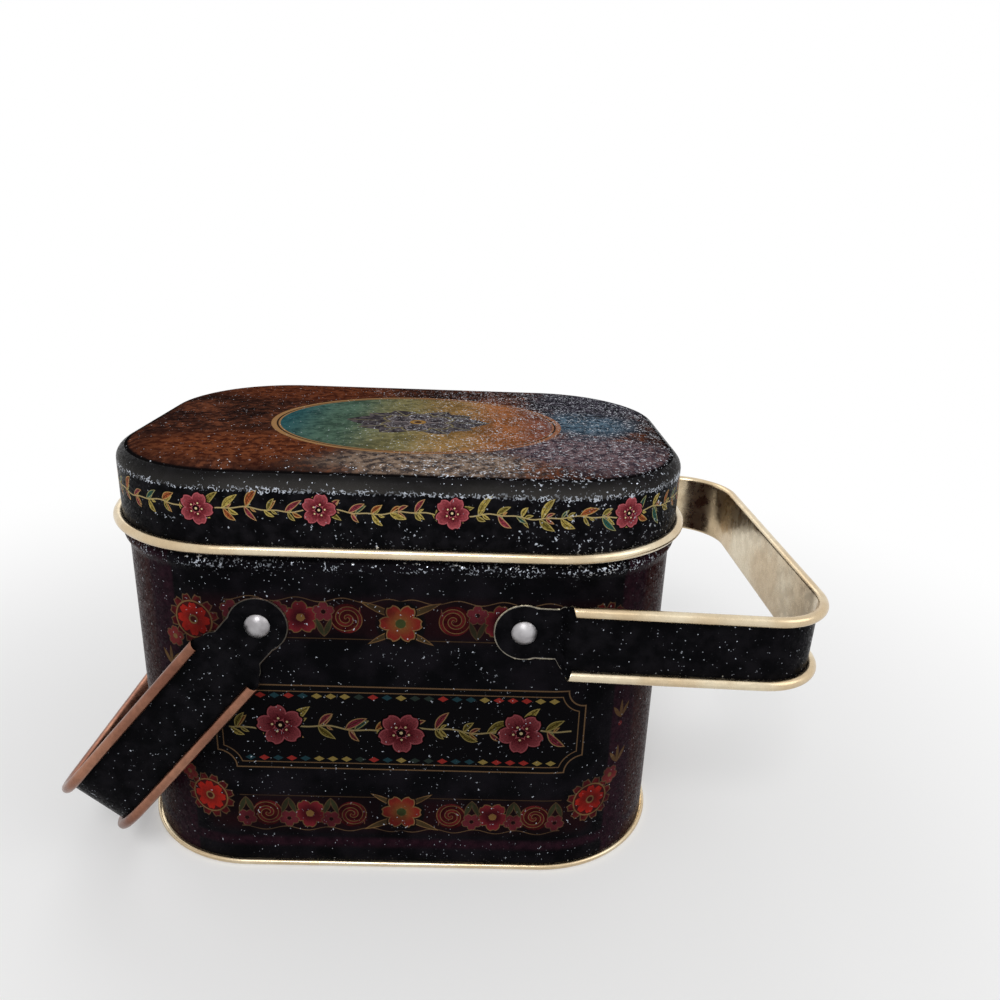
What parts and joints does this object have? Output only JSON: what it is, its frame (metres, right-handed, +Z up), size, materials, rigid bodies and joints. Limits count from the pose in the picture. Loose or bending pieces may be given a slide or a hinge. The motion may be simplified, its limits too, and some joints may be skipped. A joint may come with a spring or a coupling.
{
  "type": "lidded tin with two swinging handles",
  "caption": "Rounded rectangular tinplate box with a lift-off lid, a rolled stop bead, a hemmed base and two U-shaped strap handles on rivets.",
  "frame": {"origin": "middle of the tin's footprint, on the surface that it stands on", "axes": "+X to the right along the tin's length, +Y to the back, +Z up; the long faces with the rivets look along -Y and +Y"},
  "size_m": [0.1752, 0.1014, 0.0984],
  "materials": {
    "printed_tinplate": "glossy lacquer over a dark print",
    "gold_lacquer": "satin gold lacquer",
    "black_lacquer": "glossy black lacquer with copper edges",
    "rivet_metal": "satin"
  },
  "bodies": {
    "tin": {"body_wall": "printed_tinplate", "bottom_panel": "gold_lacquer", "rivets_right": "rivet_metal", "rivets_left": "rivet_metal"},
    "lid": {"lid": "printed_tinplate"},
    "handle_right": {"handle_right": "black_lacquer"},
    "handle_left": {"handle_left": "black_lacquer"}
  },
  "joints": [
    {"name": "lid_lift", "type": "slide", "parent": "tin", "child": "lid", "axis": [0, 0, 1], "range_m": [0, 0.0175]},
    {"name": "handle_right_swing", "type": "hinge", "parent": "tin", "child": "handle_right", "pos_m": [0.0285, 0, 0.0634], "axis": [0, -1, 0], "range_deg": [-48.6, 108.6]},
    {"name": "handle_left_swing", "type": "hinge", "parent": "tin", "child": "handle_left", "pos_m": [-0.0285, 0, 0.0634], "axis": [0, 1, 0], "range_deg": [0, 157.2]}
  ]
}
